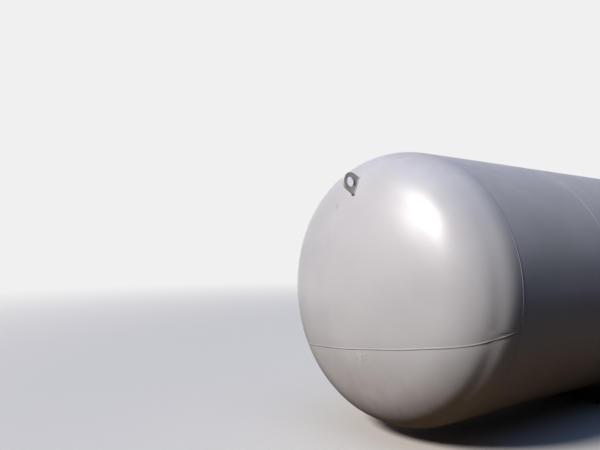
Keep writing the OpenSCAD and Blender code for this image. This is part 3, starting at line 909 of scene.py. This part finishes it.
def softened(node, name, width):
    """Copy of a solid with triangles merged, flat faces joined and a small round on its edges."""
    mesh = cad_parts[node].data.copy()
    mesh.name = name
    if "custom_normal" in mesh.attributes:
        mesh.attributes.remove(mesh.attributes["custom_normal"])
    return modify(cleaned(name, mesh, EDGE_A, FLAT_A), "BEVEL", width=width, segments=2,
                  limit_method="ANGLE", angle_limit=EDGE_A, harden_normals=True)


# the steelwork got its coat by brush: greyer, with a coarser film and more soil, with its painted shade,
# than the tank
saddle_paint = enamel("brushed_enamel_on_steelwork", "#b9bbc2", "#adafb6", 0.9, 1.4, 0.42, 1.5)[0]
# the fittings are sprayed like the tank, a little glossier and high above the splashes
fitting_enamel = enamel("sprayed_enamel_on_fittings", "#d3d4da", "#c9cad0", 0.9, 0.0, 0.34)[0]

for side in ("front", "rear"):
    for part in ("wear_plate", "web", "ribs", "base_plate"):
        dress(softened(f"{side}_{part}", f"{side}_saddle_{part}", PLATE_EDGE),
              saddle_paint, "saddle_enamel", f"{side}_{part}")
fittings = [(f"manway_{part}", MANWAY_EDGE) for part in ("pad", "neck", "flange", "cover")]
fittings += [(f"nozzle_{part}{i}", NOZZLE_EDGE) for i in (1, 2, 3) for part in ("", "cover_")]
for node, width in fittings:
    dress(softened(node, f"{node}_turned", width), fitting_enamel, "fitting_enamel", node)

# %% [markdown]
# ### Welds of the fittings and saddles
# The pad, the neck and the pipes stand on a curved shell, so the corner that their weld fills runs up
# and down as it goes round. Each path is a circle seen from above, dropped onto the curve. A saddle
# is all straight welds, except along its wear plate and under it.

# %% Welds round upright pipes and discs
UP, DOWN = [0.0, 0.0, 1.0], [0.0, 0.0, -1.0]
ROUND_STEP, ROUND_LEAST = 5 * MM, 24


def round_weld(x, radius, leg, seed, ground=None, y=0.0, z=AXIS_Z, up=UP):
    """Fillet round an upright pipe or disc. It lies level at z, or stands on a lying cylinder of
    radius ground whose axis is at z: the rise is the root of ground squared less the square of the
    distance aside, and the way out follows the slope there."""
    turn = around(max(ROUND_LEAST, int(2 * np.pi * radius / ROUND_STEP)), closed=False)
    aside = y + radius * np.sin(turn)
    rise = np.sqrt(ground ** 2 - aside ** 2) if ground else 0 * turn
    slope = -aside / rise * np.sin(turn) if ground else 0 * turn
    path = vectors(x + radius * np.cos(turn), aside, z + rise)
    out = unit(vectors(np.cos(turn), np.sin(turn), slope))
    return fillet(path, out, up, leg, seed, ring=True)


PAD_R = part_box("manway_pad")[1].x
PAD_T = 14 * MM
COVER_T = 40 * MM
FLANGE_UNDER, FLANGE_FACE = (corner.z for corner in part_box("manway_flange"))
COVER_TOP = FLANGE_FACE + COVER_T
HANDLE_X, HANDLE_Y, HANDLE_R = 180 * MM, 75 * MM, 8 * MM
PAD_LEG, NECK_LEG, PIPE_LEG, HANDLE_LEG = 10 * MM, 12 * MM, 8 * MM, 4 * MM
print(f"pad radius {PAD_R:.3f}, neck radius {MANWAY_R:.3f}, flange {FLANGE_UNDER:.3f} to {FLANGE_FACE:.3f}")

fitting_welds = round_weld(0, PAD_R, PAD_LEG, 101, TANK_R)
fitting_welds += round_weld(0, MANWAY_R, NECK_LEG, 102, TANK_R + PAD_T)
fitting_welds += round_weld(0, MANWAY_R, PIPE_LEG, 103, z=FLANGE_UNDER, up=DOWN)
for i, x in enumerate(NOZZLE_X):
    fitting_welds += round_weld(x, PIPE_R, PIPE_LEG, 104 + i, TANK_R)
handle_feet = [(x, y) for x in (HANDLE_X, -HANDLE_X) for y in (HANDLE_Y, -HANDLE_Y)]
for i, (x, y) in enumerate(handle_feet):
    fitting_welds += round_weld(x, HANDLE_R, HANDLE_LEG, 110 + i, y=y, z=COVER_TOP)
dress_weld("fitting_fillets", fitting_welds, bead_enamel)

# %% Welds of a saddle
WEAR_R = TANK_R + 12 * MM
WEAR_HALF_X = 190 * MM
WEAR_ARC = math.radians(66) * TANK_R
WEAR_CORNER = 60 * MM
WEB_T = 14 * MM
WEB_A = math.radians(60)
WEB_Y = WEAR_R * math.sin(WEB_A)
RIB_T = 12 * MM
RIB_Y = [share * WEB_Y for share in (0.2, 0.6, -0.2, -0.6)]
RIB_END_X = 150 * MM
BASE_T = 20 * MM
SADDLE_LEG = 8 * MM
WEB_POINTS = 240


def under_tank(x, radius, angle):
    """Points at a radius from the tank's axis and an angle from straight below it towards +Y, and the
    ways outwards."""
    away = vectors(0, np.sin(angle), -np.cos(angle))
    return away * radius + vectors(x, 0, AXIS_Z), away


def saddle_welds(middle):
    """Fillets of the saddle at x: round its wear plate, along its web, and round each rib."""
    def line(first, last, out, up, seed):
        """Straight fillet from the first to the last point."""
        return fillet(straight(first, last), out, up, SADDLE_LEG, seed)

    def height(y):
        """Underside of the wear plate: the axis less the root of its radius squared less y squared."""
        return AXIS_Z - math.sqrt(WEAR_R ** 2 - y ** 2)

    place, way = rounded_loop(WEAR_HALF_X, WEAR_ARC, WEAR_CORNER, LONG_STEP)
    path, away = under_tank(middle + place[:, 0], TANK_R, place[:, 1] / TANK_R)
    tangent = vectors(0, -away[:, 2], away[:, 1])
    out = way[:, :1] * np.array([1.0, 0.0, 0.0]) + way[:, 1:] * tangent
    welds = fillet(path, out, away, SADDLE_LEG, 120, ring=True)
    for side in (1.0, -1.0):
        along = [side, 0.0, 0.0]
        face, tip = middle + side * WEB_T / 2, middle + side * RIB_END_X
        path, away = under_tank(face, WEAR_R, np.linspace(-WEB_A, WEB_A, WEB_POINTS))
        welds += fillet(path, along, away, SADDLE_LEG, 121)
        welds += line((face, -WEB_Y, BASE_T), (face, WEB_Y, BASE_T), along, UP, 122)
        for y, flank in [(y, flank) for y in RIB_Y for flank in (1.0, -1.0)]:
            edge = y + flank * RIB_T / 2
            top, out = height(edge), [0.0, flank, 0.0]
            slope = unit(np.array([0.0, 1.0, edge / (AXIS_Z - top)])) * flank
            welds += line((face, edge, BASE_T), (tip, edge, BASE_T), out, UP, 123)
            welds += line((face, edge, BASE_T), (face, edge, top), out, along, 124)
            welds += line((face, edge, top), (tip, edge, top), slope, DOWN, 125)
        for y, flank in ((WEB_Y, -1.0), (-WEB_Y, 1.0)):
            out = [0.0, flank, 0.0]
            welds += line((face, y, BASE_T), (face, y, height(y)), along, out, 126)
            welds += line((face, y, BASE_T), (tip, y, BASE_T), out, UP, 127)
    return welds


for side, middle in (("front", -SADDLE_X), ("rear", SADDLE_X)):
    dress_weld(f"{side}_saddle_fillets", saddle_welds(middle), bead_enamel)

# %% [markdown]
# ## Bolts and gaskets
# Covers are held by through bolts with a washer at both ends. A bolt is one closed surface, a row
# of levels that are round or six-sided, which is lighter than a bolt put together from solids. The
# gasket shows only as a thin dark line in the gap.

# %% A bolt
AIR = 0.1 * MM
BOLT_STEPS, GASKET_STEPS = 24, 128
THREAD_PITCH, THREAD_DEPTH, THREAD_TURNS = 1.5 * MM, 0.9 * MM, 6


def bolt(x, y, top, bottom, size, wrench, head, nut, turn):
    """Bolt, washers and nut through a joint. A level is a height, a radius and a share of the hexagon,
    whose radius is wrench / 2 over the cosine of the angle from the middle of its flat."""
    angle = around(BOLT_STEPS)
    hexagon = wrench / 2 / np.cos((angle % (np.pi / 3)) - np.pi / 6)
    shank, washer, face, thick, chamfer = size / 2, 0.92 * size, 0.465 * wrench, size / 6, 0.08 * size
    over, crown = top + thick, top + thick + head
    under, end = bottom - thick, bottom - thick - nut
    thread = [(end - k * THREAD_PITCH, shank - (k % 2) * THREAD_DEPTH, 0) for k in range(THREAD_TURNS)]
    levels = [
        (crown, 0, 0), (crown, face, 0), (crown - chamfer, 0, 1), (over, 0, 1), (over, washer, 0),
        (top - AIR, washer, 0), (top - AIR, shank, 0), (bottom + AIR, shank, 0),
        (bottom + AIR, washer, 0), (under, washer, 0), (under, 0, 1), (end + chamfer, 0, 1), (end, face, 0),
    ] + thread + [(thread[-1][0], 0, 0)]
    z, radius, six = np.array(levels).T[:, :, None]
    return turned(x, y, radius + six * hexagon, z, angle + turn)


def bolts(x, circle, count, *sizes):
    """Bolts on a circle round an upright axis at x, half a step from +X, each turned by chance."""
    draw = np.random.default_rng(count)
    angle = (np.arange(count) + 0.5) * 2 * np.pi / count
    return [bolt(x + circle * math.cos(a), circle * math.sin(a), *sizes, draw.uniform(0, 1)) for a in angle]


def washer_ring(x, inner, outer, middle, thick):
    """Flat ring round an upright axis: a rectangle carried round it."""
    radius = np.array([[inner, outer, outer, inner, inner]]).T
    height = middle + thick / 2 * np.array([[-1, -1, 1, 1, -1]]).T
    return turned(x, 0, radius, height, around(GASKET_STEPS))


# %% [markdown]
# ### Zinc and fibre
# The bolts are zinc-plated steel. A few months outdoors turn the bright plating to a dull, slightly
# blotched grey, so it is a metal with a high and uneven roughness. The gaskets are compressed fibre,
# a dark matt sheet whose cut edge is a little rough.

# %% Zinc-plated steel and compressed fibre
ZINC_BLOTCH, ZINC_GRAIN, FIBRE = 15.4 * MM, 1.11 * MM, 2.5 * MM


def zinc_plating():
    """Dull zinc: a grey metal whose tone and roughness change in blotches of about 15 mm."""
    material, put, shader, where = new_tree("dull_zinc_plating")
    blotch = put("TexNoise", {"Vector": where, "Scale": 1 / ZINC_BLOTCH, "Detail": 4.0})
    even = put("MapRange", (blotch, 0.35, 0.65), **SMOOTH)
    base = put("Mix", {0: even, 6: linear("#93979a"), 7: linear("#b9bcbe")}, **COLOUR)
    dull = put("MapRange", (even, 0.0, 1.0, 0.52, 0.36))
    grain = put("TexNoise", {"Vector": where, "Scale": 1 / ZINC_GRAIN, "Detail": 2.0})
    bump = put("Bump", {"Height": grain, "Strength": 0.2, "Distance": 0.2 * MM})
    connect(shader, {"Base Color": base, "Roughness": dull, "Normal": bump, "Metallic": 1.0})
    return material


def gasket_fibre():
    """Compressed fibre sheet: matt dark green-grey with short fibres at the cut edge."""
    material, put, shader, where = new_tree("compressed_fibre")
    fibres = put("TexNoise", {"Vector": where, "Scale": 1 / FIBRE, "Detail": 3.0})
    base = put("Mix", {0: fibres, 6: linear("#27302c"), 7: linear("#4a554f")}, **COLOUR)
    bump = put("Bump", {"Height": fibres, "Strength": 0.5, "Distance": 0.4 * MM})
    connect(shader, {"Base Color": base, "Normal": bump, "Roughness": 0.85})
    return material


zinc, fibre = zinc_plating(), gasket_fibre()
print("made", zinc.name, "and", fibre.name)

# %% Bolts and gaskets of the covers
GASKET_T = 3 * MM
PIPE_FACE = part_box("nozzle_1")[1].z
PIPE_COVER_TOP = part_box("nozzle_cover_1")[1].z
PIPE_FLANGE_T = 22 * MM
# size, width over the hexagon's flats, height of the head and of the nut
MANWAY_BOLT = 24 * MM, 36 * MM, 15 * MM, 20 * MM
PIPE_BOLT = 16 * MM, 24 * MM, 10 * MM, 14 * MM
# radius and number of the bolts' circle, inner and outer radius of the gasket
MANWAY_JOINT = 320 * MM, 20, 296 * MM, 308 * MM
PIPE_JOINT = 80 * MM, 8, 62 * MM, 70 * MM


def dress_joint(kind, number, x, top, face, under, sizes, joint):
    """Bolts and gasket of one bolted cover, whose top, joint face and flange's underside are given."""
    circle, count, inner, outer = joint
    fasteners = bolts(x, circle, count, top, under, *sizes)
    dress(new_piece(f"{kind}_bolts{number}", fasteners, sharp=BOLT_SHARP), zinc)
    dress(new_piece(f"{kind}_gasket{number}", [washer_ring(x, inner, outer, face, GASKET_T)]), fibre)


dress_joint("manway", "", 0, COVER_TOP, FLANGE_FACE, FLANGE_UNDER, MANWAY_BOLT, MANWAY_JOINT)
for i, x in enumerate(NOZZLE_X, 1):
    dress_joint("nozzle", f"_{i}", x, PIPE_COVER_TOP, PIPE_FACE, PIPE_FACE - PIPE_FLANGE_T,
                PIPE_BOLT, PIPE_JOINT)
print(f"faces at {FLANGE_FACE:.4f} and {PIPE_FACE:.4f}, tops at {COVER_TOP:.4f} and {PIPE_COVER_TOP:.4f}")

# %% [markdown]
# ## Camera, floor and light
# The camera stands in front of the near head at eye height and looks along the tank's side. It sees
# a pale studio, which also stands in the tank's mirror image beyond it. Nearer than that the enamel
# mirrors a dark yard and a sky that turns blue only overhead, as it does in the photograph.

# %% Camera
CAMERA_AT = (-8.9226, -3.6222, 1.6268)
CAMERA_YAW = math.radians(53.49)
CAMERA_PITCH = math.radians(2.516)

camera_data = bpy.data.cameras.new("camera")
camera_data.lens = 34.68
camera_data.sensor_width = 36.0
camera_data.clip_end = 500
camera = place_piece("camera", camera_data)
camera.location = CAMERA_AT
camera.rotation_euler = (math.pi / 2 + CAMERA_PITCH, 0, CAMERA_YAW - math.pi / 2)
bpy.context.scene.camera = camera
print("camera at", CAMERA_AT)

# %% Floor
BACKDROP = "#f0f0f1"
VIEW_WAY = (0.6, 0.8, 0.0)
BEYOND, TREES, FADE = (3.0, 7.0), (-2.0, -6.5), (7.0, 24.0)
FLOOR_HALF = 150


def meets_studio(put, beyond):
    """1 for a ray that meets the pale studio: from the camera, through glass, or off a glossy face
    where the studio lies beyond the tank. All others meet the darker yard."""
    glossy = put("Math", (put("LightPath", out="Is Glossy Ray"), beyond), **TIMES)
    clear = put("LightPath", out="Is Transmission Ray")
    either = put("Math", (glossy, clear), operation="MAXIMUM")
    return put("Math", (either, put("LightPath", out="Is Camera Ray")), operation="MAXIMUM")


def floor_material():
    """Pale floor with the tank's shadow, fading to the backdrop so that no horizon shows. Other rays
    meet a darker one, darkest far out at the side, where the photographed yard ends in trees."""
    material, put, shader, where = new_tree("studio_floor")
    past = put("VectorMath", (where, VIEW_WAY), "Value", operation="DOT_PRODUCT")
    studio = meets_studio(put, put("MapRange", (past, *BEYOND), **SMOOTH))
    side = put("SeparateXYZ", [where], "Y")
    aside = put("MapRange", (side, *TREES), **SMOOTH)
    ground = put("Mix", {0: aside, 6: linear("#5a4a38"), 7: linear("#0a0908")}, **COLOUR)
    colour = put("Mix", {0: studio, 6: ground, 7: linear("#e9e6e1")}, **COLOUR)
    connect(shader, {"Base Color": colour, "Roughness": 0.9, "Specular IOR Level": 0.1})
    spread = put("VectorMath", [where], "Value", operation="LENGTH")
    fade = put("MapRange", (spread, *FADE), **SMOOTH)
    far = put("Math", (fade, studio), **TIMES)
    glow = put("Emission", {"Color": linear(BACKDROP), "Strength": 1.0})
    both = put("MixShader", (far, shader.outputs[0], glow))
    connect(shader.outputs[0].links[0].to_node, [both])
    return material


SQUARE = (-1, -1), (1, -1), (1, 1), (-1, 1)
floor_mesh = bpy.data.meshes.new("floor")
floor_mesh.from_pydata([(x * FLOOR_HALF, y * FLOOR_HALF, 0) for x, y in SQUARE], [], [(0, 1, 2, 3)])
floor_mesh.materials.append(floor_material())
floor = place_piece("floor", floor_mesh)
print("floor", 2 * FLOOR_HALF, "metres wide")

# %% Sky
CLIMB, BEHIND, PAST = (0.50, 1.0), (0.25, 0.95), (0.75, 1.0)
world = bpy.data.worlds.new("studio")
world.use_nodes = True
bpy.context.scene.world = world
world.node_tree.nodes.clear()
put = partial(add, world.node_tree)
ray = put("TexCoord", out="Generated")
height = put("SeparateXYZ", [ray], "Z")
climb = put("MapRange", (height, *CLIMB), **SMOOTH)
toward = put("VectorMath", (ray, VIEW_WAY), "Value", operation="DOT_PRODUCT")
behind = put("MapRange", (toward, *BEHIND), **SMOOTH)
beyond = put("MapRange", (toward, *PAST), **SMOOTH)
dome = linear("#050506")
for share, code in ((climb, "#7397ca"), (behind, "#8b93a3"), (meets_studio(put, beyond), BACKDROP)):
    dome = put("Mix", {0: share, 6: dome, 7: linear(code)}, **COLOUR)
put("OutputWorld", {"Surface": put("Background", {"Color": dome, "Strength": 1.0})})

# %% [markdown]
# ### The sun
# A hazy sun stands high over the near head and lights it from the front. It is a lamp with a wide
# angle, because its highlight on the enamel is a soft round one and its shadow has a soft edge.

# %% Sun
SUN_FROM = (-0.800, 0.022, 0.598)
sun_data = bpy.data.lights.new("sun", "SUN")
sun_data.energy = 3.15
sun_data.angle = math.radians(14)
sun_data.color = linear("#fff8f2")[:3]
sun = place_piece("sun", sun_data)
sun.rotation_mode = "QUATERNION"
sun.rotation_quaternion = Vector(SUN_FROM).to_track_quat("Z", "Y")
print("sun from", SUN_FROM)

# %% [markdown]
# ## Finish
# The view shows each colour as it is written, and the scene is brought up to date.

# %% Finish
bpy.context.scene.view_settings.view_transform = "Standard"
bpy.context.view_layer.update()
